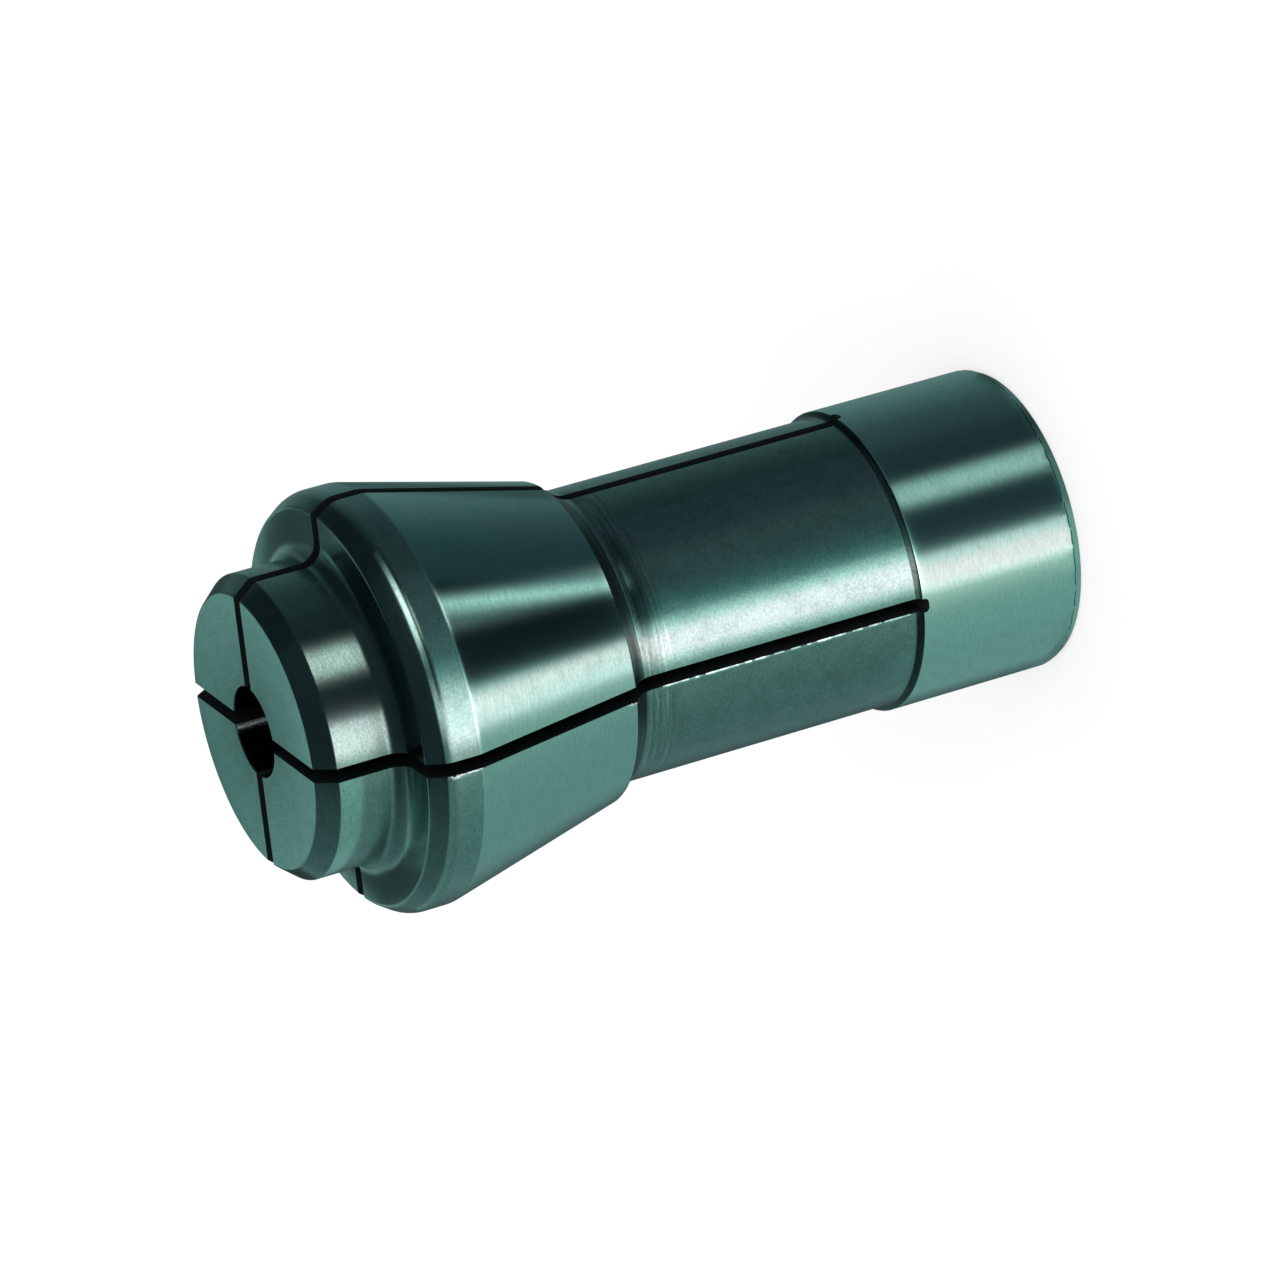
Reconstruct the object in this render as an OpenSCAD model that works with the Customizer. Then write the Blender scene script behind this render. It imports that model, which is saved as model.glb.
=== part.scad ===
// Spring collet of a small die grinder.
// Turned and bored from one bar of steel, then slit into four jaws joined by a closed collar.
// The axis lies on Z: the rear face is on z = 0 and the nose points to +Z.
// All sizes are in millimetres.

/* [Overall] */
// Length from the rear face to the nose face
overall_len = 27.6; // [26:0.1:34]

/* [Nose] */
// Diameter of the nose in front of the shoulder
nose_d = 10.1; // [9:0.1:11]
// Length of the nose from its face to the shoulder
nose_len = 2.95; // [2:0.05:4]
// Length of the nose chamfer along the axis
nose_chamfer_len = 0.6; // [0.2:0.05:1]
// Depth of the nose chamfer across the axis
nose_chamfer_depth = 0.5; // [0.2:0.05:0.8]
// Radius of the fillet between nose and shoulder
nose_fillet_r = 0.6; // [0.2:0.05:0.8]

/* [Head] */
// Largest diameter, on the land in front of the seat taper
head_d = 14; // [13.6:0.1:15]
// Outer diameter of the flat shoulder that the nut presses on
shoulder_d = 13.2; // [12.8:0.1:13.5]
// Length of the head chamfer along the axis
head_chamfer_len = 0.6; // [0.3:0.05:0.8]
// Length from the shoulder to the start of the seat taper
head_len = 1.7; // [1.4:0.05:2.5]
// Radius that rounds the edge between head chamfer and land
head_edge_r = 0.8; // [0.2:0.1:1]

/* [Seat taper] */
// Length of the seat taper along the axis
seat_len = 6.3; // [5.8:0.1:6.8]
// Included angle of the seat taper
seat_angle = 28; // [26:0.5:29]

/* [Neck] */
// Slope of the step behind the taper, against the axis
neck_slope = 50; // [40:1:60]
// Radius that blends the step into the shank
neck_blend_r = 0.8; // [0.4:0.05:0.9]

/* [Shank] */
// Diameter of the slit shank
shank_d = 9.8; // [9.4:0.1:9.9]

/* [Collar] */
// Diameter of the collar that joins the jaws
collar_d = 10.2; // [10.1:0.1:11]
// Length of the collar
collar_len = 6; // [4.5:0.1:7]
// Radius of the fillet between shank and collar
collar_fillet_r = 0.3; // [0.2:0.05:0.5]
// Length of the rear chamfer along the axis
rear_chamfer_len = 0.3; // [0.1:0.05:0.5]
// Depth of the rear chamfer across the axis
rear_chamfer_depth = 0.15; // [0.05:0.05:0.4]

/* [Bores] */
// Diameter of the bore that grips the tool shank
grip_d = 3; // [1.6:0.1:4]
// Length of the gripping bore from the nose face
grip_len = 12; // [9:0.5:14]
// Diameter of the wider relief bore behind it
relief_d = 7; // [5.5:0.1:7.4]
// Included angle of the drilled step between the two bores
drill_angle = 118; // [90:1:140]
// Chamfer on the mouth of the relief bore
mouth_chamfer = 0.3; // [0.1:0.05:0.5]

/* [Slits] */
// Number of slits, and so of jaws
slit_count = 4; // [3:1:6]
// Width of each slit
slit_w = 0.45; // [0.35:0.05:0.8]
// How far a slit runs on into the collar
slit_run_in = 0.2; // [0.05:0.05:1]
// Radius in the corners at the closed end of a slit
slit_corner_r = 0.14; // [0.05:0.01:0.16]

/* [Hidden] */
$fn = 96;
steel = [0.36, 0.5, 0.47];

// Cutters reach this far past the faces that they open
overshoot = 1;

// Radii
nose_r = nose_d / 2;
head_r = head_d / 2;
shoulder_r = shoulder_d / 2;
shank_r = shank_d / 2;
collar_r = collar_d / 2;
grip_r = grip_d / 2;
relief_r = relief_d / 2;

// Heights of the steps along the axis
nose_chamfer_z = overall_len - nose_chamfer_len;
shoulder_z = overall_len - nose_len;
head_edge_z = shoulder_z - head_chamfer_len;
seat_top_z = shoulder_z - head_len;
seat_end_z = seat_top_z - seat_len;
seat_end_r = head_r - seat_len * tan(seat_angle / 2);

// The head chamfer's slope against the axis, and how far the rounding reaches from its corner
head_slope = atan((head_r - shoulder_r) / head_chamfer_len);
head_edge_reach = head_edge_r * tan(head_slope / 2);

// The neck's blend leaves the shank at neck_z and ends at neck_slope, where the straight step takes over.
// On a low step the blend is only as large as the step lets it be.
blend_r = min(neck_blend_r, (seat_end_r - shank_r) / (1 - cos(neck_slope)));
blend_rise = blend_r * (1 - cos(neck_slope));
blend_len = blend_r * sin(neck_slope);
step_len = (seat_end_r - shank_r - blend_rise) / tan(neck_slope);
neck_z = seat_end_z - step_len - blend_len;

// The bores and the slits
grip_end_z = overall_len - grip_len;
relief_top_z = grip_end_z - (relief_r - grip_r) / tan(drill_angle / 2);
slit_end_z = collar_len - slit_run_in;

// Concave fillet between a cylinder of radius r and the face at height z below it.
// Where the face is narrower than the fillet, the arc ends on the face's outer edge.
module inside_fillet(r, z, fillet_r, face_w) {
    rise = min(fillet_r, face_w);
    reach = sqrt(pow(fillet_r, 2) - pow(fillet_r - rise, 2));
    difference() {
        translate([r, z])
            square([rise, reach]);
        translate([r + fillet_r, z + reach])
            circle(r = fillet_r);
    }
}

// Half section of the turned body: x is the radius and y the height along the axis
module turned_outline() {
    difference() {
        polygon([
            [0, 0],
            [collar_r - rear_chamfer_depth, 0],
            [collar_r, rear_chamfer_len],
            [collar_r, collar_len],
            [shank_r, collar_len],
            [shank_r, neck_z],
            [shank_r + blend_rise, neck_z + blend_len],
            [seat_end_r, seat_end_z],
            [head_r, seat_top_z],
            [head_r, head_edge_z - head_edge_reach],
            [head_r - head_edge_reach * sin(head_slope), head_edge_z + head_edge_reach * cos(head_slope)],
            [shoulder_r, shoulder_z],
            [nose_r, shoulder_z],
            [nose_r, nose_chamfer_z],
            [nose_r - nose_chamfer_depth, overall_len],
            [0, overall_len]
        ]);
        // The neck's hollow blend
        translate([shank_r + blend_r, neck_z])
            circle(r = blend_r);
    }
    // The rounded front edge of the head
    translate([head_r - head_edge_r, head_edge_z - head_edge_reach])
        circle(r = head_edge_r);
    inside_fillet(nose_r, shoulder_z, nose_fillet_r, shoulder_r - nose_r);
    inside_fillet(shank_r, collar_len, collar_fillet_r, collar_r - shank_r);
}

// Half section of what is bored out: grip bore, drilled step, relief bore and its mouth
module bored_outline() {
    mouth_r = relief_r + mouth_chamfer;
    polygon([
        [0, -overshoot],
        [mouth_r + overshoot, -overshoot],
        [relief_r, mouth_chamfer],
        [relief_r, relief_top_z],
        [grip_r, grip_end_z],
        [grip_r, overall_len + overshoot],
        [0, overall_len + overshoot]
    ]);
}

// Outline of one slit seen from the side: x across the slit, y along the axis
module slit_outline() {
    corner_x = slit_w / 2 - slit_corner_r;
    corner_z = slit_end_z + slit_corner_r;
    translate([-slit_w / 2, corner_z])
        square([slit_w, overall_len + overshoot - corner_z]);
    translate([-corner_x, slit_end_z])
        square([2 * corner_x, 2 * slit_corner_r]);
    for (side = [-1, 1])
        translate([side * corner_x, corner_z])
            circle(r = slit_corner_r);
}

// One slit, sawn from the axis outwards along +X
module slit() {
    rotate([90, 0, 90])
        linear_extrude(height = head_r + overshoot)
            slit_outline();
}

module collet() {
    color(steel)
        difference() {
            rotate_extrude()
                turned_outline();
            rotate_extrude()
                bored_outline();
            for (i = [0:slit_count - 1])
                rotate([0, 0, i * 360 / slit_count])
                    slit();
        }
}

collet();
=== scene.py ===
import math

import bmesh
import bpy
from mathutils import Matrix, Quaternion, Vector, noise


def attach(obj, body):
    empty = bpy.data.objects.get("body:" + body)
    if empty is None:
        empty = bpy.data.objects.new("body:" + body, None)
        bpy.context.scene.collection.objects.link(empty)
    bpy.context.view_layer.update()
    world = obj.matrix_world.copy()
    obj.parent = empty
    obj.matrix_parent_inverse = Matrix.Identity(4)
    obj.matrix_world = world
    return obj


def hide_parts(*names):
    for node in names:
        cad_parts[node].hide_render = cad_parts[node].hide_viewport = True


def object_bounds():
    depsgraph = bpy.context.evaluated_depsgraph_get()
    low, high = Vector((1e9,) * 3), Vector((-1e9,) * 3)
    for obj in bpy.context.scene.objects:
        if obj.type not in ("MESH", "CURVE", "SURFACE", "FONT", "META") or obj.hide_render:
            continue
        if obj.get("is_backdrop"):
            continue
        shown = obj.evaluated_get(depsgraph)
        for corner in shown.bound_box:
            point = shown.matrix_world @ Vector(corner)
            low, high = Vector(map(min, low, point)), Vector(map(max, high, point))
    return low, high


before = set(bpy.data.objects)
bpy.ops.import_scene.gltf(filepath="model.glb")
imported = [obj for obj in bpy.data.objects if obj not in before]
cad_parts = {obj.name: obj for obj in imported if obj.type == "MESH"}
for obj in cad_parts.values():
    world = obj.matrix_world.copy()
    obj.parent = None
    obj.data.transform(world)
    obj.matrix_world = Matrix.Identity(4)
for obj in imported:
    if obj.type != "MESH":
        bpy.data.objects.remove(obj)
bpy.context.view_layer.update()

# Camera
# The photograph was taken with a long lens from above the rear end, and the camera lies almost on
# its side, so that the standing collet shows with its nose to the left.
camera_place = Vector((0.184887, 0.081946, 0.100330))
camera_aim = Vector((0.000201, -0.000556, 0.013902))
camera_roll = math.radians(-106.09)
camera_data = bpy.data.cameras.new("camera")
camera_data.lens = 190.32
camera_data.sensor_width = 36.0
camera_data.clip_start = 0.02
camera_data.clip_end = 3.0
camera = bpy.data.objects.new("camera", camera_data)
bpy.context.collection.objects.link(camera)
camera.location = camera_place
camera.rotation_mode = "QUATERNION"
camera.rotation_quaternion = (camera_aim - camera_place).to_track_quat("-Z", "Y") @ Quaternion(
    (0.0, 0.0, 1.0), camera_roll
)
bpy.context.scene.camera = camera

# Floor
# A plain white studio floor under the part. The camera sees it as white paper, and it keeps the
# part's soft shadow.
floor_radius = 1.4
floor_white = (0.95, 0.95, 0.95, 1.0)
paper_glow = 0.62
floor_mesh = bmesh.new()
bmesh.ops.create_circle(floor_mesh, cap_ends=True, segments=64, radius=floor_radius)
floor_data = bpy.data.meshes.new("floor")
floor_mesh.to_mesh(floor_data)
floor_mesh.free()
floor = bpy.data.objects.new("floor", floor_data)
bpy.context.collection.objects.link(floor)
floor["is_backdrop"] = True
floor.visible_glossy = False


def seen_directly(nodes, links):
    """1 for the rays that come from the camera, a mirror or a lens, and 0 for all others"""
    path = nodes.new("ShaderNodeLightPath")
    camera_or_glossy = nodes.new("ShaderNodeMath")
    camera_or_glossy.operation = "MAXIMUM"
    links.new(path.outputs["Is Camera Ray"], camera_or_glossy.inputs[0])
    links.new(path.outputs["Is Glossy Ray"], camera_or_glossy.inputs[1])
    any_of_three = nodes.new("ShaderNodeMath")
    any_of_three.operation = "MAXIMUM"
    links.new(camera_or_glossy.outputs[0], any_of_three.inputs[0])
    links.new(path.outputs["Is Transmission Ray"], any_of_three.inputs[1])
    return any_of_three.outputs[0]


floor_paint = bpy.data.materials.new("floor paper")
floor_paint.use_nodes = True
nodes, links = floor_paint.node_tree.nodes, floor_paint.node_tree.links
nodes.clear()
matte = nodes.new("ShaderNodeBsdfDiffuse")
matte.inputs["Color"].default_value = floor_white
glow = nodes.new("ShaderNodeEmission")
glow.inputs["Color"].default_value = (1.0, 1.0, 1.0, 1.0)
glow.inputs["Strength"].default_value = 1.0
share = nodes.new("ShaderNodeMath")
share.operation = "MULTIPLY"
share.inputs[1].default_value = paper_glow
links.new(seen_directly(nodes, links), share.inputs[0])
blend = nodes.new("ShaderNodeMixShader")
links.new(share.outputs[0], blend.inputs[0])
links.new(matte.outputs[0], blend.inputs[1])
links.new(glow.outputs[0], blend.inputs[2])
output = nodes.new("ShaderNodeOutputMaterial")
links.new(blend.outputs[0], output.inputs["Surface"])
floor_data.materials.append(floor_paint)

# World
# White behind the part for the camera, and an even pale light on the floor.
floor_light = 0.95
world = bpy.data.worlds.new("studio")
bpy.context.scene.world = world
world.use_nodes = True
nodes, links = world.node_tree.nodes, world.node_tree.links
nodes.clear()
white = nodes.new("ShaderNodeBackground")
white.inputs["Color"].default_value = (1.0, 1.0, 1.0, 1.0)
white.inputs["Strength"].default_value = 1.0
pale = nodes.new("ShaderNodeBackground")
pale.inputs["Color"].default_value = (1.0, 1.0, 1.0, 1.0)
pale.inputs["Strength"].default_value = floor_light
blend = nodes.new("ShaderNodeMixShader")
links.new(seen_directly(nodes, links), blend.inputs[0])
links.new(pale.outputs[0], blend.inputs[1])
links.new(white.outputs[0], blend.inputs[2])
output = nodes.new("ShaderNodeOutputWorld")
links.new(blend.outputs[0], output.inputs["Surface"])

# Overhead softbox
# One large soft lamp above the part, which gives it a faint soft shadow on the floor.
softbox_place = (0.35, 0.16, 0.48)
softbox_size = 0.5
softbox_energy = 1.6
softbox_data = bpy.data.lights.new("overhead softbox", "AREA")
softbox_data.shape = "DISK"
softbox_data.size = softbox_size
softbox_data.energy = softbox_energy
softbox = bpy.data.objects.new("overhead softbox", softbox_data)
bpy.context.collection.objects.link(softbox)
softbox.location = softbox_place
softbox.rotation_mode = "QUATERNION"
softbox.rotation_quaternion = (-softbox.location).to_track_quat("-Z", "Y")
softbox.visible_camera = False
softbox.visible_glossy = False

# Studio tent
# A painted tent wall stands all round the part and shows only as reflections in the metal: a key
# strip, a narrower side strip, grey between them and black elsewhere, all with soft ends.
tent_radius = 0.5
tent_low = -0.66
tent_high = 0.75
tent_strength = 4.0
cap_hole = 0.002
card_step = 3.0
black = (0.030, 0.042, 0.052)
grey = (0.255, 0.410, 0.405)
key = (3.30, 2.72, 2.85)
side_bright = (2.20, 2.10, 2.05)
back = (0.30, 0.48, 0.47)
base_grey = (0.07, 0.115, 0.115)

# Colour of the tent at each azimuth in degrees, seen from the part at below_angle or lower and at
# above_angle or higher
below_angle = -8.0
above_angle = 14.0
tent_below = [
    (-180, (0.16, 0.26, 0.26)),
    (-165, (0.16, 0.26, 0.26)),
    (-150, (0.09, 0.145, 0.145)),
    (-136, (0.08, 0.13, 0.13)),
    (-127, (0.14, 0.23, 0.23)),
    (-112, (0.23, 0.37, 0.37)),
    (-70, grey),
    (-45, (0.30, 0.46, 0.45)),
    (-31, (0.38, 0.57, 0.52)),
    (-23, (0.55, 0.71, 0.67)),
    (-16, (0.72, 0.92, 0.86)),
    (-10, key),
    (11, key),
    (14, (0.10, 0.13, 0.14)),
    (22, black),
    (96, (0.045, 0.066, 0.078)),
    (125, (0.065, 0.105, 0.115)),
    (145, (0.11, 0.185, 0.19)),
    (165, (0.15, 0.25, 0.25)),
]
tent_above = [
    (-180, (0.20, 0.33, 0.33)),
    (-165, back),
    (-140, back),
    (-120, (0.16, 0.26, 0.27)),
    (-60, (0.085, 0.138, 0.145)),
    (-30, (0.04, 0.06, 0.07)),
    (0, (0.03, 0.05, 0.055)),
    (80, (0.04, 0.065, 0.07)),
    (100, (0.02, 0.03, 0.035)),
    (150, (0.02, 0.03, 0.035)),
    (165, (0.06, 0.10, 0.10)),
]


def ring(name, outline, azimuth_from=-180.0, azimuth_to=180.0):
    """A card swept round the axis from (radius, height) points, seen only in reflections"""
    bm = bmesh.new()
    points = [bm.verts.new((radius, 0.0, height)) for radius, height in outline]
    edges = [bm.edges.new(pair) for pair in zip(points, points[1:])]
    turn = Matrix.Rotation(math.radians(azimuth_from), 3, "Z")
    bmesh.ops.rotate(bm, verts=points, cent=(0.0, 0.0, 0.0), matrix=turn)
    width = azimuth_to - azimuth_from
    bmesh.ops.spin(
        bm,
        geom=points + edges,
        cent=(0.0, 0.0, 0.0),
        axis=(0.0, 0.0, 1.0),
        angle=math.radians(width),
        steps=max(4, round(width / card_step)),
        use_merge=width >= 360,
    )
    data = bpy.data.meshes.new(name)
    bm.to_mesh(data)
    bm.free()
    obj = bpy.data.objects.new(name, data)
    bpy.context.collection.objects.link(obj)
    obj.visible_camera = False
    obj.visible_diffuse = False
    obj.visible_shadow = False
    obj.visible_transmission = False
    obj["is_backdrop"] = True
    return obj


def new_paint(obj, name):
    """A new material on the object: its nodes, its links and the socket for its surface"""
    paint = bpy.data.materials.new(name)
    paint.use_nodes = True
    nodes, links = paint.node_tree.nodes, paint.node_tree.links
    nodes.clear()
    output = nodes.new("ShaderNodeOutputMaterial")
    obj.data.materials.append(paint)
    return nodes, links, output.inputs["Surface"]


def by_azimuth(nodes, links, stops, scale, slant=0.0, level=0.0):
    """A colour for each azimuth round the axis, from (degrees, colour) stops, and the height

    The colours are divided by scale, the strength of the light that takes them. A slanted band
    turns by slant degrees for each metre below the given level.
    """
    place = nodes.new("ShaderNodeTexCoord")
    split = nodes.new("ShaderNodeSeparateXYZ")
    links.new(place.outputs["Object"], split.inputs[0])
    azimuth = nodes.new("ShaderNodeMath")
    azimuth.operation = "ARCTAN2"
    links.new(split.outputs["Y"], azimuth.inputs[0])
    links.new(split.outputs["X"], azimuth.inputs[1])
    lean = nodes.new("ShaderNodeMath")
    lean.operation = "SUBTRACT"
    links.new(split.outputs["Z"], lean.inputs[0])
    lean.inputs[1].default_value = level
    leaning = nodes.new("ShaderNodeMath")
    leaning.operation = "MULTIPLY_ADD"
    links.new(lean.outputs[0], leaning.inputs[0])
    leaning.inputs[1].default_value = math.radians(slant)
    links.new(azimuth.outputs[0], leaning.inputs[2])
    share = nodes.new("ShaderNodeMapRange")
    share.inputs["From Min"].default_value = -math.pi
    share.inputs["From Max"].default_value = math.pi
    links.new(leaning.outputs[0], share.inputs["Value"])
    ramp = nodes.new("ShaderNodeValToRGB")
    elements = ramp.color_ramp.elements
    for number, (degrees, colour) in enumerate(stops):
        position = (degrees + 180.0) / 360.0
        element = elements.new(position) if number else elements[0]
        element.position = position
        element.color = (*[c / scale for c in colour], 1.0)
    # The ramp's own last stop, at its far end, goes
    elements.remove(elements[-1])
    links.new(share.outputs["Result"], ramp.inputs[0])
    return ramp.outputs["Color"], split.outputs["Z"]


tent = ring("studio tent", [(tent_radius, tent_low), (tent_radius, tent_high)])
caps = [
    (ring("tent roof", [(tent_radius, tent_high), (cap_hole, tent_high)]), black),
    (ring("tent base", [(cap_hole, tent_low), (tent_radius, tent_low)]), base_grey),
]
for cap, colour in caps:
    nodes, links, surface = new_paint(cap, cap.name)
    light = nodes.new("ShaderNodeEmission")
    light.inputs["Color"].default_value = (*colour, 1.0)
    links.new(light.outputs[0], surface)
nodes, links, surface = new_paint(tent, "tent paint")
below, height = by_azimuth(nodes, links, tent_below, tent_strength)
above, height = by_azimuth(nodes, links, tent_above, tent_strength)
level = nodes.new("ShaderNodeMapRange")
level.interpolation_type = "SMOOTHSTEP"
level.inputs["From Min"].default_value = tent_radius * math.tan(math.radians(below_angle))
level.inputs["From Max"].default_value = tent_radius * math.tan(math.radians(above_angle))
links.new(height, level.inputs["Value"])
mixed = nodes.new("ShaderNodeMix")
mixed.data_type = "RGBA"
links.new(level.outputs["Result"], mixed.inputs["Factor"])
links.new(below, mixed.inputs["A"])
links.new(above, mixed.inputs["B"])
light = nodes.new("ShaderNodeEmission")
light.inputs["Strength"].default_value = tent_strength
links.new(mixed.outputs["Result"], light.inputs["Color"])
links.new(light.outputs[0], surface)

# The side strip hangs just inside the tent wall and leans a little
side_radius = 0.48
side_top = -0.03
side_from = 40
side_to = 84
side_azimuths = [(46, black), (52.5, side_bright), (65.5, side_bright), (71.5, black)]
side_slant = 13.8
side_level = -0.24
side_strip = ring(
    "side strip", [(side_radius, tent_low), (side_radius, side_top)], side_from, side_to
)
nodes, links, surface = new_paint(side_strip, "side strip")
colour, height = by_azimuth(
    nodes, links, side_azimuths, tent_strength, side_slant, side_level
)
light = nodes.new("ShaderNodeEmission")
light.inputs["Strength"].default_value = tent_strength
links.new(colour, light.inputs["Color"])
links.new(light.outputs[0], surface)

# Nets and near cards
# Small curved studio nets and graded cards stand close to the part, and each acts on one zone of
# the metal. Nets dim the strips in the collar, neck, taper and nose, and cards give the rear edge,
# the shank, the land, the head and the shoulder a reflection of their own.
mm = 0.001
near_r = 7.6
glow_scale = 4.5
clear = (1.0, 1.0, 1.0)
unlit = (0.0, 0.0, 0.0)


def near_card(name, outline, net=None, glow=None):
    """A card or net swept round the part from an outline in millimetres

    A net lets part of the light behind it through and a glow adds light, each given by azimuth. A
    card without a net hides what is behind it.
    """
    stops = net or glow
    obj = ring(name, [(r * mm, z * mm) for r, z in outline], stops[0][0], stops[-1][0])
    nodes, links, surface = new_paint(obj, name)
    shaders = []
    if net:
        through = nodes.new("ShaderNodeBsdfTransparent")
        links.new(by_azimuth(nodes, links, net, 1.0)[0], through.inputs["Color"])
        shaders.append(through)
    if glow:
        lit = nodes.new("ShaderNodeEmission")
        lit.inputs["Strength"].default_value = glow_scale
        links.new(by_azimuth(nodes, links, glow, glow_scale)[0], lit.inputs["Color"])
        shaders.append(lit)
    whole = shaders[0]
    if len(shaders) == 2:
        whole = nodes.new("ShaderNodeAddShader")
        links.new(shaders[0].outputs[0], whole.inputs[0])
        links.new(shaders[1].outputs[0], whole.inputs[1])
    links.new(whole.outputs[0], surface)


near_card(
    "card under the rear edge",
    [(4.9, -0.5), (6.4, -0.5)],
    glow=[
        (-100, (0.12, 0.20, 0.19)),
        (-60, (0.14, 0.24, 0.23)),
        (-45, (0.21, 0.35, 0.33)),
        (-36, (0.27, 0.45, 0.42)),
        (-8, (0.30, 0.50, 0.47)),
        (2, (0.36, 0.58, 0.54)),
        (18, (0.32, 0.50, 0.47)),
        (25, (0.16, 0.26, 0.25)),
        (42, (0.15, 0.25, 0.24)),
        (50, (0.10, 0.17, 0.16)),
        (60, (0.04, 0.065, 0.065)),
        (68, (0.055, 0.095, 0.09)),
        (76, (0.12, 0.205, 0.20)),
        (84, (0.12, 0.20, 0.19)),
        (92, (0.07, 0.12, 0.115)),
        (100, (0.065, 0.11, 0.105)),
        (110, (0.08, 0.14, 0.135)),
    ],
)
near_card(
    "net by the collar",
    [(near_r, -2.0), (near_r, 5.6)],
    net=[
        (-84, clear),
        (-14, clear),
        (-3, (0.98, 0.97, 0.95)),
        (3, (0.66, 0.58, 0.58)),
        (8, (0.62, 0.53, 0.55)),
        (13.5, (0.40, 0.46, 0.44)),
        (34, (0.37, 0.44, 0.42)),
        (40, (0.15, 0.23, 0.23)),
        (46, (0.33, 0.41, 0.39)),
        (52, (0.28, 0.38, 0.37)),
        (60, (0.36, 0.43, 0.41)),
        (70, (0.36, 0.43, 0.41)),
        (82, clear),
    ],
    glow=[
        (-84, unlit),
        (-72, (0.035, 0.055, 0.050)),
        (-25, (0.035, 0.055, 0.050)),
        (-14, unlit),
        (9, unlit),
        (17, (0.0, 0.08, 0.09)),
        (22, (0.015, 0.032, 0.038)),
        (70, (0.016, 0.026, 0.034)),
        (82, unlit),
    ],
)
near_card(
    "card by the shank",
    [(6.0, 5.56), (6.0, 15.3)],
    glow=[
        (-7, (0.454, 0.682, 0.636)),
        (0.2, (0.704, 1, 0.932)),
        (3.8, (2.16, 2.22, 2.16)),
        (7.3, (4.26, 3.16, 3.41)),
        (14.5, (4.26, 3.16, 3.41)),
        (19.2, (1.82, 2.22, 2.16)),
        (24, (0.386, 0.682, 0.648)),
        (28.8, (0.17, 0.341, 0.352)),
        (33.5, (0.148, 0.25, 0.261)),
        (38.3, (0.125, 0.193, 0.204)),
        (47.8, (0.119, 0.176, 0.187)),
        (57, (0.0852, 0.119, 0.136)),
        (66.8, (0.0682, 0.0966, 0.114)),
        (76, (0.0682, 0.0966, 0.114)),
    ],
)
near_card(
    "net by the neck",
    [(5.95, 14.6), (5.95, 15.4)],
    net=[(19, clear), (26, (0.65, 0.65, 0.65)), (56, (0.65, 0.65, 0.65)), (72, clear)],
)
near_card(
    "second net by the neck",
    [(5.9, 15.0), (5.9, 15.4)],
    net=[
        (-7, (0.72, 0.72, 0.72)),
        (14, (0.80, 0.80, 0.80)),
        (22, (0.45, 0.45, 0.45)),
        (40, (0.40, 0.40, 0.40)),
        (60, (0.6, 0.6, 0.6)),
        (72, clear),
    ],
)
near_card(
    "net by the taper",
    [(near_r, 13.8), (near_r, 22.25)],
    net=[
        (-9, clear),
        (-1, (0.76, 0.83, 0.81)),
        (5, (0.58, 0.68, 0.67)),
        (10, (0.61, 0.64, 0.63)),
        (14.5, (0.68, 0.65, 0.64)),
        (19, (0.26, 0.43, 0.41)),
        (24, (0.22, 0.27, 0.30)),
        (30, (0.30, 0.34, 0.35)),
        (40, (0.10, 0.15, 0.155)),
        (45, (0.49, 0.65, 0.63)),
        (50, (0.13, 0.20, 0.215)),
        (55, (0.45, 0.50, 0.50)),
        (70, (0.52, 0.56, 0.55)),
        (82, clear),
    ],
    glow=[
        (-9, unlit),
        (48, unlit),
        (54, (0.010, 0.028, 0.034)),
        (72, (0.012, 0.030, 0.037)),
        (82, unlit),
    ],
)
near_card(
    "net by the far side of the taper",
    [(near_r, 13.8), (near_r, 22.25)],
    net=[(104, clear), (111, (0.45, 0.45, 0.46)), (126, (0.45, 0.45, 0.46)), (138, clear)],
)
near_card(
    "card by the land",
    [(near_r, 22.4), (near_r, 23.7)],
    glow=[
        (9, (3.0, 2.65, 2.8)),
        (14, (2.7, 2.5, 2.6)),
        (19.5, (1.6, 1.65, 1.65)),
        (24, (0.50, 0.76, 0.74)),
        (29, (0.18, 0.31, 0.31)),
        (37, (0.13, 0.21, 0.22)),
        (50, (0.10, 0.16, 0.17)),
        (58, (0.06, 0.09, 0.10)),
        (70, (0.06, 0.09, 0.10)),
    ],
)
near_card(
    "strip by the head",
    [(7.18, 23.97), (7.18, 24.2)],
    glow=[
        (-66, (0.24, 0.40, 0.37)),
        (-50, (0.28, 0.46, 0.43)),
        (-4, (0.24, 0.40, 0.37)),
        (6, (0.27, 0.41, 0.39)),
        (14, (1.5, 1.6, 1.6)),
        (20, (0.9, 1.0, 1.0)),
        (26, (0.16, 0.28, 0.28)),
        (32, (0.60, 0.76, 0.76)),
        (38, (2.7, 2.6, 2.6)),
        (44, (3.9, 3.7, 3.7)),
        (50, (3.0, 2.9, 2.9)),
        (55, (0.80, 0.90, 0.90)),
        (60, (0.12, 0.16, 0.17)),
        (64, (0.08, 0.12, 0.13)),
    ],
)
near_card(
    "net by the root of the nose",
    [(near_r, 24.0), (near_r, 24.6)],
    net=[
        (-6, (0.45, 0.45, 0.45)),
        (2, (0.35, 0.35, 0.35)),
        (9, (0.6, 0.6, 0.6)),
        (18, (0.6, 0.6, 0.6)),
        (24, clear),
    ],
)
near_card(
    "glow by the front of the nose",
    [(5.6, 25.95), (5.6, 26.8)],
    net=[(-84, clear), (-4, clear)],
    glow=[
        (-84, unlit),
        (-77, (0.03, 0.05, 0.045)),
        (-64, (0.19, 0.32, 0.29)),
        (-4, (0.20, 0.34, 0.31)),
    ],
)
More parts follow.
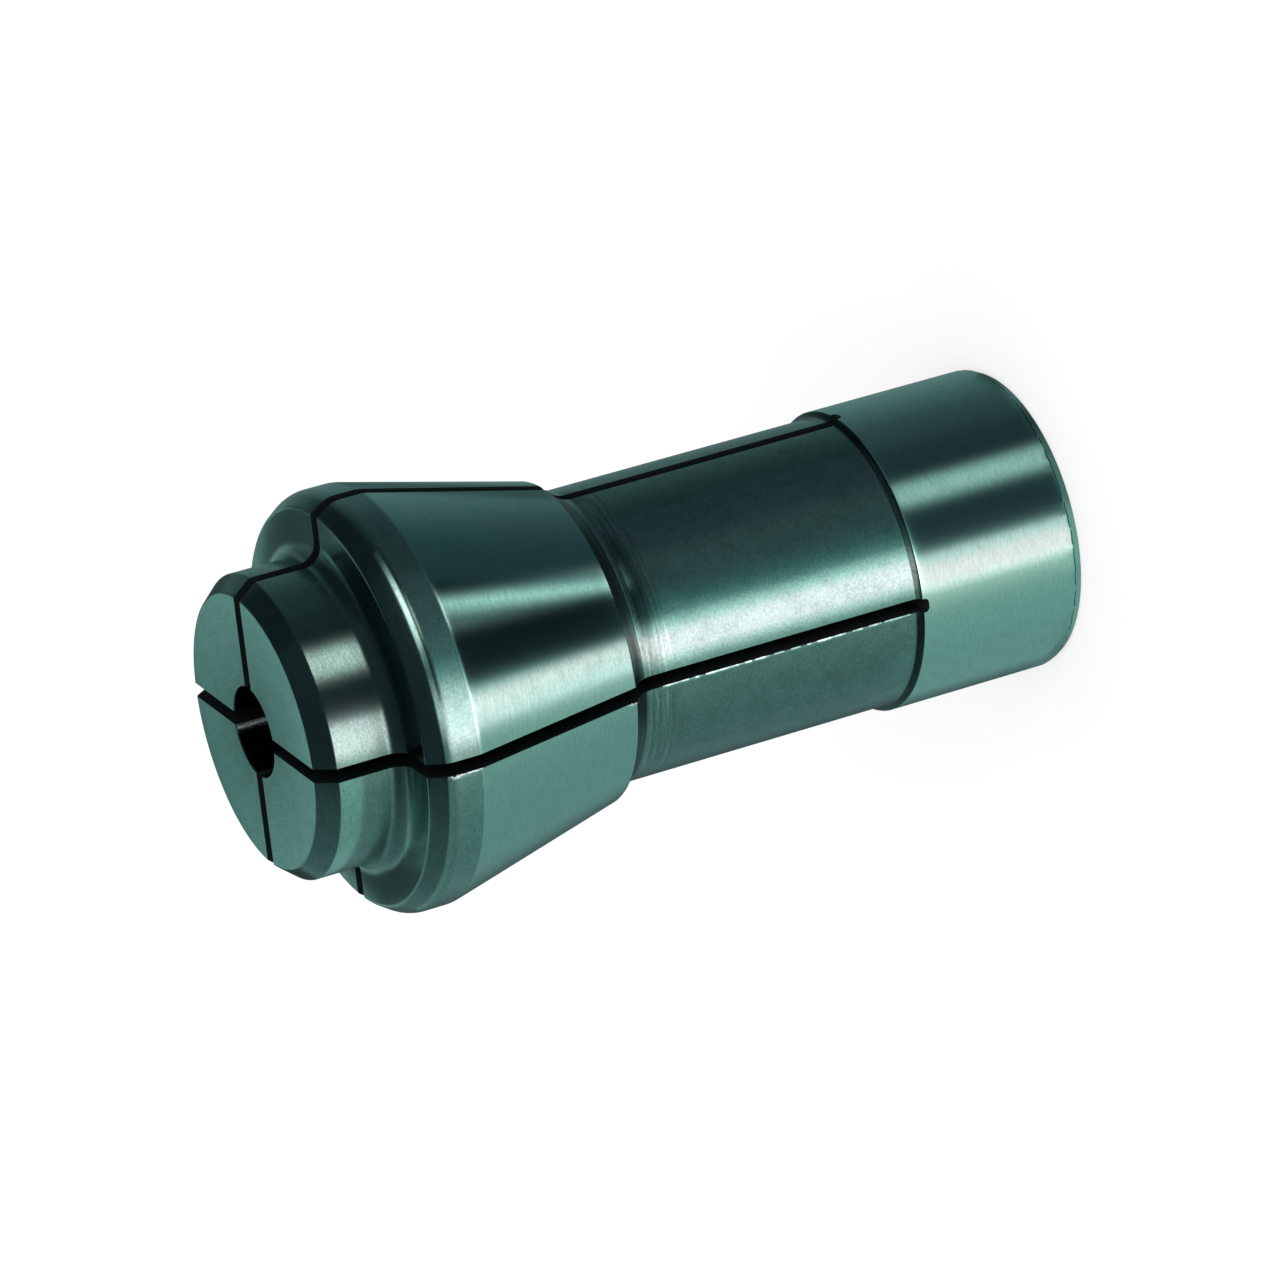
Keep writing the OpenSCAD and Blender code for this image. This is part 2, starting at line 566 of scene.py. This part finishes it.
near_card(
    "card behind the shoulder",
    [(near_r, 25.6), (near_r, 28.7)],
    glow=[
        (108, (0.02, 0.03, 0.03)),
        (122, (0.09, 0.145, 0.14)),
        (137, (0.12, 0.195, 0.19)),
        (144, (0.055, 0.092, 0.089)),
        (179.9, (0.055, 0.092, 0.089)),
    ],
)
near_card(
    "card below the shoulder",
    [(near_r, 25.6), (near_r, 28.7)],
    glow=[(-180, (0.042, 0.070, 0.068)), (-94, (0.042, 0.070, 0.068))],
)

# Collet body
# Turned from one bar of spring steel: nose, shoulder, land, seat taper, neck, shank and collar,
# with a grip bore from the nose and a wider relief bore from the rear. Drawn here in millimetres.
overall_len = 27.6
nose_r = 5.05
nose_chamfer_len = 0.6
nose_chamfer_depth = 0.5
nose_fillet_r = 0.6
shoulder_z = 24.65
shoulder_r = 6.6
head_r = 7.0
head_edge_z = 24.05
head_edge_reach = 0.242
seat_top_z = 22.95
seat_end_z = 16.65
seat_end_r = 5.429
neck_corner_z = 16.206
neck_reach = 0.373
shank_r = 4.9
collar_r = 5.1
collar_len = 6.0
collar_corner_z = 6.071
collar_fillet_reach = 0.2
rear_chamfer_len = 0.3
rear_chamfer_depth = 0.15
grip_r = 1.5
grip_end_z = 15.6
relief_r = 3.5
relief_top_z = 14.398
mouth_chamfer = 0.3
slit_end_z = 5.8
collar_edge_reach = 0.02
land_edge_reach = 0.12
shoulder_edge_reach = 0.08
worn_edge = 0.04

# The mesh: the lengths of its rows along the axis, the steps round it, the steps of its small and
# large roundings, and how close two places count as one
shank_row = 0.12
outer_row = 0.2
bore_row = 1.0
turns = 256
small_reach = 0.1
small_segments = 4
large_segments = 10
tiny = 0.001

# Each corner of the half section: radius, height, and how far its rounding reaches along both sides
corners = [
    (relief_r + mouth_chamfer, 0.0, worn_edge),
    (collar_r - rear_chamfer_depth, 0.0, worn_edge),
    (collar_r, rear_chamfer_len, worn_edge),
    (collar_r, slit_end_z, 0.0),
    (collar_r, collar_len, collar_edge_reach),
    (shank_r, collar_corner_z, collar_fillet_reach),
    (shank_r, neck_corner_z, neck_reach),
    (seat_end_r, seat_end_z, worn_edge),
    (head_r, seat_top_z, land_edge_reach),
    (head_r, head_edge_z, head_edge_reach),
    (shoulder_r, shoulder_z, shoulder_edge_reach),
    (nose_r, shoulder_z, nose_fillet_r),
    (nose_r, overall_len - nose_chamfer_len, worn_edge),
    (nose_r - nose_chamfer_depth, overall_len, worn_edge),
    (grip_r, overall_len, worn_edge),
    (grip_r, grip_end_z, 0.0),
    (relief_r, relief_top_z, 0.0),
    (relief_r, slit_end_z, 0.0),
    (relief_r, mouth_chamfer, worn_edge),
]
body = bmesh.new()
points = [body.verts.new((r, 0.0, z)) for r, z, reach in corners]
body.faces.new(points)
for point, (r, z, reach) in zip(points, corners):
    if reach > 0.0:
        bmesh.ops.bevel(
            body,
            geom=[point],
            affect="VERTICES",
            offset=reach,
            segments=small_segments if reach < small_reach else large_segments,
            profile=0.5,
            material=-1,
        )
for line in body.edges[:]:
    row = outer_row
    if all(abs(v.co.x - shank_r) < tiny for v in line.verts):
        row = shank_row
    if all(v.co.x < relief_r + tiny for v in line.verts):
        row = bore_row
    cuts = int(line.calc_length() / row)
    if cuts:
        bmesh.ops.subdivide_edges(body, edges=[line], cuts=cuts)
bmesh.ops.delete(body, geom=body.faces[:], context="FACES_ONLY")
bmesh.ops.spin(
    body,
    geom=body.verts[:] + body.edges[:],
    cent=(0.0, 0.0, 0.0),
    axis=(0.0, 0.0, 1.0),
    angle=2 * math.pi,
    steps=turns,
    use_merge=True,
)
bmesh.ops.remove_doubles(body, verts=body.verts, dist=0.0005)
bmesh.ops.recalc_face_normals(body, faces=body.faces)

# Which face has which finish
GROUND, HARDENED, LAND, NECK, TURNED, FACED, BORED, SHADED_CUT, SHADED_ROOT, BURR_AND_HIGHLIGHT = range(10)
root_shade_width = 0.16
step_low_z = 16.1
neck_marks_z = 15.0


def finish_of(radius, z):
    """The finish of a turned face at that radius and height"""
    if radius < relief_r + mouth_chamfer and z < overall_len - worn_edge:
        return BORED
    if z > overall_len - tiny or z < tiny:
        return FACED
    # Painted shade darkens the concave roots beside the collar and at the end of the taper
    if collar_len < z < collar_len + root_shade_width or step_low_z < z < seat_end_z + worn_edge:
        return SHADED_ROOT
    if z < collar_len or seat_end_z < z < seat_top_z:
        return GROUND
    if z > head_edge_z - head_edge_reach:
        return TURNED
    if z > seat_top_z:
        return LAND
    if z > neck_marks_z and z < seat_end_z:
        return NECK
    return HARDENED


for face in body.faces:
    middle = face.calc_center_median()
    face.material_index = finish_of(math.hypot(middle.x, middle.y), middle.z)

# Slits
# Four slits sawn from the nose down into the collar leave four spring jaws on a closed ring. Their
# walls are parallel and their closed ends have small rounded corners.
slit_count = 4
slit_w = 0.45
slit_corner_r = 0.14
slit_corner_segments = 4
slit_edge_break = 0.012
quarter = 2 * math.pi / slit_count
column = 2 * math.pi / turns


def turned_to_slit(x, y):
    """Angle of a point from the middle of the nearest slit, and the angle of that slit"""
    angle = math.atan2(y, x)
    slit_angle = round(angle / quarter) * quarter
    return angle - slit_angle, slit_angle


in_slit = []
for face in body.faces:
    middle = face.calc_center_median()
    off_slit, slit_angle = turned_to_slit(middle.x, middle.y)
    if abs(off_slit) < column and middle.z > slit_end_z:
        in_slit.append(face)
bmesh.ops.delete(body, geom=in_slit, context="FACES")

# The columns of faces beside a slit move over until they end on its parallel walls
for v in body.verts:
    radius = math.hypot(v.co.x, v.co.y)
    off_slit, slit_angle = turned_to_slit(v.co.x, v.co.y)
    wall_angle = math.asin(slit_w / 2 / radius)
    spread = (quarter / 2 - wall_angle) / (quarter / 2 - column)
    if abs(off_slit) > column / 2:
        moved = quarter / 2 - (quarter / 2 - abs(off_slit)) * spread
        moved = math.copysign(moved, off_slit) + slit_angle
        v.co.x, v.co.y = radius * math.cos(moved), radius * math.sin(moved)

open_edges = [edge for edge in body.edges if edge.is_boundary]
walls = []
for k in range(slit_count):
    along = Vector((math.cos(k * quarter), math.sin(k * quarter), 0.0))
    across = Vector((-along.y, along.x, 0.0))
    near = [
        edge
        for edge in open_edges
        if all(v.co.dot(along) > 0.0 and abs(v.co.dot(across)) < slit_w for v in edge.verts)
    ]
    floor_edges = [
        edge for edge in near if all(abs(v.co.z - slit_end_z) < tiny for v in edge.verts)
    ]
    for wall_y in (-slit_w / 2, slit_w / 2):
        wall_edges = [
            edge
            for edge in near
            if all(abs(v.co.dot(across) - wall_y) < tiny for v in edge.verts)
        ]
        ends = {v for e in wall_edges for v in e.verts if abs(v.co.z - slit_end_z) < tiny}
        ends = sorted(ends, key=lambda v: v.co.dot(along))
        made = bmesh.ops.contextual_create(body, geom=[ends[0], ends[-1]])
        foot = made["edges"][0] if made["edges"] else body.edges.get((ends[0], ends[-1]))
        floor_edges.append(foot)
        walls.append(wall_edges + [foot])
    walls.append(floor_edges)
# The walls and floors of the slits take the cut finish, painted nearly black as shade
for edges in walls:
    bmesh.ops.edgeloop_fill(body, edges=edges, mat_nr=SHADED_CUT)
bmesh.ops.recalc_face_normals(body, faces=body.faces)


def between_sawn_faces():
    """The edges that have a sawn face on both sides"""
    return [
        edge
        for edge in body.edges
        if len(edge.link_faces) == 2
        and all(face.material_index == SHADED_CUT for face in edge.link_faces)
    ]


# The corner at each end of a slit's floor keeps only the edges of its wall and its floor, so that
# it rounds cleanly
in_the_way = []
for corner in between_sawn_faces():
    for v in corner.verts:
        for edge in v.link_edges:
            sawn_beside = any(face.material_index == SHADED_CUT for face in edge.link_faces)
            if not sawn_beside and edge not in in_the_way:
                in_the_way.append(edge)
bmesh.ops.dissolve_edges(body, edges=in_the_way, use_verts=False, use_face_split=False)
bmesh.ops.bevel(
    body,
    geom=between_sawn_faces(),
    affect="EDGES",
    offset=slit_corner_r,
    segments=slit_corner_segments,
    profile=0.5,
    material=-1,
)
# The slit edges are broken, and the breaks take the same cut finish with its painted shade
rim = [e for e in body.edges if sum(f.material_index == SHADED_CUT for f in e.link_faces) == 1]
bmesh.ops.bevel(
    body,
    geom=rim,
    affect="EDGES",
    offset=slit_edge_break,
    segments=2,
    profile=0.5,
    material=SHADED_CUT,
)

# Burrs that the saw left on the lower edge of the slit towards the camera: the heights between
# which each runs, how far the edge itself drops and how far the strip beside it rises
burrs = [(6.4, 15.5, 0.02, 0.02), (22.9, 24.1, 0.02, 0.0)]
burr_width = 0.05
burr_fade_low = 1.2
burr_fade_high = 0.15
even_drop = 0.85
even_rise = 0.3
burr_highlight_above = -0.12

# Where the burrs and the nick are: on the slit's lower wall and just outside and inside of it, in
# front of front_x and in the outer skin only
lower_y = -slit_w / 2
front_x = 3.0
cut_reach = 0.6
burr_reach = 0.20
wall_reach = 0.03
moved_skin = 0.03
marked_skin = 0.04

# A nick at the rear end of the taper, on the same edge
nick_z = 16.7
nick_half = 0.2
nick_inward = 0.14
nick_down = 0.10


def roughness_at(z):
    """How ragged the burrs are at a height: a coarse wave with a finer one on it"""
    return noise.noise((z * 4.5, 1.7, 0.0)) + 0.8 * noise.noise((z * 9.0, 5.1, 0.0))


def below_the_slit(verts):
    """Whether all the points lie just below the slit that faces the camera"""
    return all(v.co.x > front_x and -cut_reach < v.co.y < 0.0 for v in verts)


beside_slit = [v for v in body.verts if below_the_slit([v])]
beside_slit += [edge for edge in body.edges if below_the_slit(edge.verts)]
beside_slit += [face for face in body.faces if below_the_slit(face.verts)]
bmesh.ops.bisect_plane(
    body,
    geom=beside_slit,
    dist=0.0001,
    plane_co=(0.0, lower_y - burr_width, 0.0),
    plane_no=(0.0, 1.0, 0.0),
)
for v in body.verts:
    if v.co.x < front_x or not lower_y - burr_reach < v.co.y < lower_y + wall_reach:
        continue
    on_rim = v.co.y > lower_y - burr_width
    if math.hypot(v.co.x, v.co.y) < shank_r - moved_skin:
        continue
    for low, high, drop, rise in burrs:
        ends = min(1.0, (v.co.z - low) / burr_fade_low, (high - v.co.z) / burr_fade_high)
        if ends > 0.0:
            rough = roughness_at(v.co.z)
            lift = -drop * (even_drop + rough) if on_rim else rise * (even_rise + rough)
            v.co.x += ends * lift
    near_nick = 1.0 - abs(v.co.z - nick_z) / nick_half
    if near_nick > 0.0 and on_rim:
        v.co.x -= nick_inward * near_nick
        v.co.y -= nick_down * near_nick
for face in body.faces:
    middle = face.calc_center_median()
    on_strip = lower_y - burr_width < middle.y < lower_y + slit_edge_break
    if middle.x < front_x or not on_strip:
        continue
    if math.hypot(middle.x, middle.y) < shank_r - marked_skin:
        continue
    # The faces round the nick take the cut finish, painted nearly black as shade
    if abs(middle.z - nick_z) < nick_half:
        face.material_index = SHADED_CUT
    # Burr faces where the noise is high take a much brighter steel: a real burr with a painted
    # highlight on it
    for low, high, drop, rise in burrs:
        if low < middle.z < high and noise.noise((middle.z * 3.3, 9.2, 0.0)) > burr_highlight_above:
            face.material_index = BURR_AND_HIGHLIGHT

# Small dents on the rear edge, with a dark line of painted shade in them
dent_reach = 0.06
dent_depth = 0.035
dent_inward = 0.03
dent_line = 0.02
dent_line_above = -0.25


def dent_at(place):
    """How far the rear edge is dented at a point, as a share of dent_depth"""
    along = math.atan2(place.y, place.x) * collar_r
    return noise.noise((along * 2.6, 3.1, 0.0)) + 0.6 * noise.noise((along * 6.0, 7.7, 0.0))


def on_rear_edge(place):
    """Whether a point lies on the edge between the collar and its rear chamfer"""
    outside = math.hypot(place.x, place.y) > collar_r - dent_reach
    return outside and abs(place.z - rear_chamfer_len) < dent_reach


for v in body.verts:
    if on_rear_edge(v.co):
        dent = dent_at(v.co)
        v.co.z += dent_depth * dent
        inward = 1.0 - dent_inward * max(0.0, dent) / math.hypot(v.co.x, v.co.y)
        v.co.x, v.co.y = v.co.x * inward, v.co.y * inward
for face in body.faces:
    middle = face.calc_center_median()
    if on_rear_edge(middle):
        dent = dent_at(middle)
        off_line = abs(middle.z - dent_depth * dent - rear_chamfer_len)
        if off_line < dent_line and dent > dent_line_above:
            face.material_index = SHADED_ROOT

# Edges stay sharp round the cuts, at corners and where a wide face meets a very narrow one
sharp_turn = 24.0
uneven_turn = 3.0
uneven_ratio = 4.0
for face in body.faces:
    face.smooth = True
for edge in body.edges:
    finishes_meet = len({face.material_index == SHADED_CUT for face in edge.link_faces}) == 2
    turn = math.degrees(edge.calc_face_angle(0.0))
    areas = sorted(face.calc_area() for face in edge.link_faces)
    uneven = turn > uneven_turn and areas[-1] > uneven_ratio * areas[0]
    edge.smooth = not finishes_meet and not uneven and turn < sharp_turn
bmesh.ops.scale(body, vec=(mm, mm, mm), verts=body.verts)
collet_data = bpy.data.meshes.new("collet_steel")
body.to_mesh(collet_data)
body.free()
collet = bpy.data.objects.new("collet_steel", collet_data)
bpy.context.collection.objects.link(collet)

# Steel finishes
# One bar of spring steel with ten finishes: ground collar and taper, matt hardened shank, land,
# coarse turning marks in the neck, fine ones on nose and head, faced ends, bores, cuts painted
# nearly black as shade, painted shade in the roots beside collar and taper, and burrs of brighter
# steel that carries a painted highlight.
noise_low = 0.3
noise_high = 0.7


def number_input(group, name, value):
    """Add an input for a number to the group"""
    socket = group.interface.new_socket(name, in_out="INPUT", socket_type="NodeSocketFloat")
    socket.default_value = value


def mask_output(group, name):
    """Add an output for a mask to the group"""
    group.interface.new_socket(name, in_out="OUTPUT", socket_type="NodeSocketFloat")


def more_contrast(nodes, links, noise_node):
    """The middle of a noise's range, stretched from 0 to 1"""
    contrast = nodes.new("ShaderNodeMapRange")
    contrast.inputs["From Min"].default_value = noise_low
    contrast.inputs["From Max"].default_value = noise_high
    links.new(noise_node.outputs["Fac"], contrast.inputs["Value"])
    return contrast.outputs["Result"]


def tool_marks_group():
    """Fine lines left by a tool: round the axis, or in arcs on a face"""
    group = bpy.data.node_groups.new("tool marks", "ShaderNodeTree")
    number_input(group, "Spacing", 0.1)
    number_input(group, "Breaks", 1.0)
    number_input(group, "Facing", 0.0)
    mask_output(group, "Marks")
    mask_output(group, "Outwards")
    nodes, links = group.nodes, group.links
    inputs = nodes.new("NodeGroupInput")
    outputs = nodes.new("NodeGroupOutput")
    place = nodes.new("ShaderNodeTexCoord")
    to_mm = nodes.new("ShaderNodeVectorMath")
    to_mm.operation = "SCALE"
    to_mm.inputs["Scale"].default_value = 1000.0
    links.new(place.outputs["Object"], to_mm.inputs[0])
    flat = nodes.new("ShaderNodeVectorMath")
    flat.operation = "MULTIPLY"
    flat.inputs[1].default_value = (1.0, 1.0, 0.0)
    links.new(to_mm.outputs[0], flat.inputs[0])
    radius = nodes.new("ShaderNodeVectorMath")
    radius.operation = "LENGTH"
    links.new(flat.outputs[0], radius.inputs[0])
    around = nodes.new("ShaderNodeVectorMath")
    around.operation = "NORMALIZE"
    links.new(flat.outputs[0], around.inputs[0])
    spread = nodes.new("ShaderNodeVectorMath")
    spread.operation = "SCALE"
    links.new(around.outputs[0], spread.inputs[0])
    links.new(inputs.outputs["Breaks"], spread.inputs["Scale"])
    split = nodes.new("ShaderNodeSeparateXYZ")
    links.new(to_mm.outputs[0], split.inputs[0])
    depth = nodes.new("ShaderNodeMix")
    links.new(inputs.outputs["Facing"], depth.inputs["Factor"])
    links.new(split.outputs["Z"], depth.inputs["A"])
    links.new(radius.outputs["Value"], depth.inputs["B"])
    lines = nodes.new("ShaderNodeMath")
    lines.operation = "DIVIDE"
    links.new(depth.outputs["Result"], lines.inputs[0])
    links.new(inputs.outputs["Spacing"], lines.inputs[1])
    upright = nodes.new("ShaderNodeCombineXYZ")
    links.new(lines.outputs[0], upright.inputs["Z"])
    point = nodes.new("ShaderNodeVectorMath")
    point.operation = "ADD"
    links.new(spread.outputs[0], point.inputs[0])
    links.new(upright.outputs[0], point.inputs[1])
    grain = nodes.new("ShaderNodeTexNoise")
    grain.inputs["Scale"].default_value = 1.0
    grain.inputs["Detail"].default_value = 2.0
    grain.inputs["Roughness"].default_value = 0.6
    links.new(point.outputs[0], grain.inputs["Vector"])
    links.new(more_contrast(nodes, links, grain), outputs.inputs["Marks"])
    outwards = nodes.new("ShaderNodeMapRange")
    outwards.inputs["From Min"].default_value = grip_r
    outwards.inputs["From Max"].default_value = nose_r
    links.new(radius.outputs["Value"], outwards.inputs["Value"])
    links.new(outwards.outputs["Result"], outputs.inputs["Outwards"])
    return group


def mottling_group():
    """The cloudy grain of hardened steel"""
    group = bpy.data.node_groups.new("mottling", "ShaderNodeTree")
    number_input(group, "Size", 0.2)
    mask_output(group, "Grain")
    mask_output(group, "Cloud")
    nodes, links = group.nodes, group.links
    inputs = nodes.new("NodeGroupInput")
    outputs = nodes.new("NodeGroupOutput")
    place = nodes.new("ShaderNodeTexCoord")
    finer = nodes.new("ShaderNodeMath")
    finer.operation = "DIVIDE"
    finer.inputs[0].default_value = 1000.0
    links.new(inputs.outputs["Size"], finer.inputs[1])
    to_grains = nodes.new("ShaderNodeVectorMath")
    to_grains.operation = "SCALE"
    links.new(place.outputs["Object"], to_grains.inputs[0])
    links.new(finer.outputs[0], to_grains.inputs["Scale"])
    for name, scale, detail in (("Grain", 1.0, 2.0), ("Cloud", 0.12, 3.0)):
        grain = nodes.new("ShaderNodeTexNoise")
        grain.inputs["Scale"].default_value = scale
        grain.inputs["Detail"].default_value = detail
        links.new(to_grains.outputs[0], grain.inputs["Vector"])
        links.new(more_contrast(nodes, links, grain), outputs.inputs[name])
    return group


tool_marks = tool_marks_group()
mottling = mottling_group()


def steel_finish(
    name,
    dark,
    bright,
    spacing,
    breaks,
    marks_share,
    grain_size,
    grain_share,
    cloud_share,
    smooth,
    rough,
    streak,
    depth,
    facing=0.0,
    outwards=0.0,
):
    """A steel whose tone, gloss and relief follow its tool marks and its grain

    The tone goes from dark to bright and from rough to smooth. Spacing and grain_size are in
    millimetres, breaks is how often a mark ends on its way round, and depth is in micrometres. A
    facing of 1 runs the marks in arcs, and outwards brightens a face from bore to rim.
    """
    material = bpy.data.materials.new(name)
    material.use_nodes = True
    nodes, links = material.node_tree.nodes, material.node_tree.links
    shader = nodes["Principled BSDF"]
    shader.inputs["Metallic"].default_value = 1.0
    shader.inputs["Anisotropic"].default_value = streak
    shader.inputs["Anisotropic Rotation"].default_value = 0.25
    tangent = nodes.new("ShaderNodeTangent")
    tangent.direction_type = "RADIAL"
    tangent.axis = "Z"
    links.new(tangent.outputs[0], shader.inputs["Tangent"])
    marks = nodes.new("ShaderNodeGroup")
    marks.node_tree = tool_marks
    marks.inputs["Spacing"].default_value = spacing
    marks.inputs["Breaks"].default_value = breaks
    marks.inputs["Facing"].default_value = facing
    grain = nodes.new("ShaderNodeGroup")
    grain.node_tree = mottling
    grain.inputs["Size"].default_value = grain_size
    tone = None
    for socket, share in (
        (marks.outputs["Marks"], marks_share),
        (grain.outputs["Grain"], grain_share),
        (grain.outputs["Cloud"], cloud_share),
        (marks.outputs["Outwards"], outwards),
    ):
        part = nodes.new("ShaderNodeMath")
        part.operation = "MULTIPLY"
        part.inputs[1].default_value = share
        links.new(socket, part.inputs[0])
        if tone is None:
            tone = part.outputs[0]
        else:
            total = nodes.new("ShaderNodeMath")
            total.operation = "ADD"
            links.new(tone, total.inputs[0])
            links.new(part.outputs[0], total.inputs[1])
            tone = total.outputs[0]
    colour = nodes.new("ShaderNodeMix")
    colour.data_type = "RGBA"
    colour.inputs["A"].default_value = (*dark, 1.0)
    colour.inputs["B"].default_value = (*bright, 1.0)
    links.new(tone, colour.inputs["Factor"])
    links.new(colour.outputs["Result"], shader.inputs["Base Color"])
    gloss = nodes.new("ShaderNodeMapRange")
    gloss.inputs["To Min"].default_value = rough
    gloss.inputs["To Max"].default_value = smooth
    links.new(tone, gloss.inputs["Value"])
    links.new(gloss.outputs["Result"], shader.inputs["Roughness"])
    relief = nodes.new("ShaderNodeBump")
    relief.inputs["Distance"].default_value = depth * 1e-6
    links.new(tone, relief.inputs["Height"])
    links.new(relief.outputs[0], shader.inputs["Normal"])
    return material


finishes = [
    steel_finish(
        "ground steel",
        dark=(0.315, 0.495, 0.445),
        bright=(0.425, 0.665, 0.595),
        spacing=0.06,
        breaks=14.0,
        marks_share=0.5,
        grain_size=0.075,
        grain_share=0.35,
        cloud_share=0.15,
        smooth=0.18,
        rough=0.235,
        streak=0.3,
        depth=0.15,
    ),
    steel_finish(
        "hardened steel",
        dark=(0.120, 0.194, 0.175),
        bright=(0.230, 0.370, 0.335),
        spacing=0.06,
        breaks=25.0,
        marks_share=0.2,
        grain_size=0.085,
        grain_share=0.5,
        cloud_share=0.3,
        smooth=0.20,
        rough=0.25,
        streak=0.2,
        depth=0.4,
    ),
    steel_finish(
        "land steel",
        dark=(0.16, 0.255, 0.23),
        bright=(0.295, 0.46, 0.415),
        spacing=0.06,
        breaks=14.0,
        marks_share=0.25,
        grain_size=0.085,
        grain_share=0.5,
        cloud_share=0.25,
        smooth=0.20,
        rough=0.25,
        streak=0.2,
        depth=0.5,
    ),
    steel_finish(
        "neck steel",
        dark=(0.088, 0.14, 0.128),
        bright=(0.262, 0.41, 0.368),
        spacing=0.12,
        breaks=2.2,
        marks_share=0.7,
        grain_size=0.1,
        grain_share=0.35,
        cloud_share=0.05,
        smooth=0.19,
        rough=0.26,
        streak=0.5,
        depth=1.6,
    ),
    steel_finish(
        "turned steel",
        dark=(0.15, 0.24, 0.215),
        bright=(0.26, 0.41, 0.365),
        spacing=0.06,
        breaks=10.0,
        marks_share=0.35,
        grain_size=0.085,
        grain_share=0.45,
        cloud_share=0.2,
        smooth=0.20,
        rough=0.26,
        streak=0.3,
        depth=0.5,
    ),
    steel_finish(
        "faced steel",
        dark=(0.091, 0.165, 0.145),
        bright=(0.283, 0.51, 0.447),
        spacing=0.08,
        breaks=8.0,
        marks_share=0.2,
        grain_size=0.09,
        grain_share=0.22,
        cloud_share=0.1,
        smooth=0.25,
        rough=0.34,
        streak=0.4,
        depth=0.5,
        facing=1.0,
        outwards=0.6,
    ),
    steel_finish(
        "bored steel",
        dark=(0.10, 0.16, 0.15),
        bright=(0.22, 0.34, 0.31),
        spacing=0.3,
        breaks=1.0,
        marks_share=0.6,
        grain_size=0.15,
        grain_share=0.3,
        cloud_share=0.1,
        smooth=0.12,
        rough=0.30,
        streak=0.3,
        depth=1.0,
    ),
    steel_finish(
        "sawn steel painted in shade",
        dark=(0.004, 0.006, 0.006),
        bright=(0.009, 0.013, 0.013),
        spacing=0.08,
        breaks=6.0,
        marks_share=0.6,
        grain_size=0.1,
        grain_share=0.3,
        cloud_share=0.1,
        smooth=0.6,
        rough=0.8,
        streak=0.2,
        depth=3.0,
    ),
    steel_finish(
        "steel with painted shade in the roots",
        dark=(0.03, 0.05, 0.045),
        bright=(0.09, 0.14, 0.125),
        spacing=0.06,
        breaks=10.0,
        marks_share=0.4,
        grain_size=0.085,
        grain_share=0.45,
        cloud_share=0.15,
        smooth=0.25,
        rough=0.34,
        streak=0.2,
        depth=1.0,
    ),
    steel_finish(
        "burr steel with painted highlight",
        dark=(0.28, 0.42, 0.39),
        bright=(0.75, 0.90, 0.86),
        spacing=0.12,
        breaks=8.0,
        marks_share=0.6,
        grain_size=0.06,
        grain_share=0.4,
        cloud_share=0.0,
        smooth=0.35,
        rough=0.45,
        streak=0.0,
        depth=2.0,
    ),
]

# The cut faces are painted nearly black and hardly shine: painted shade for the depths of the cuts
sawn_shine = 0.05
sawn_shader = finishes[SHADED_CUT].node_tree.nodes["Principled BSDF"]
sawn_shader.inputs["Metallic"].default_value = 0.0
sawn_shader.inputs["Specular IOR Level"].default_value = sawn_shine
for finish in finishes:
    collet_data.materials.append(finish)
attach(collet, "root")
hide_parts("collet")

bpy.context.scene.view_settings.view_transform = "Standard"
low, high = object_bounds()
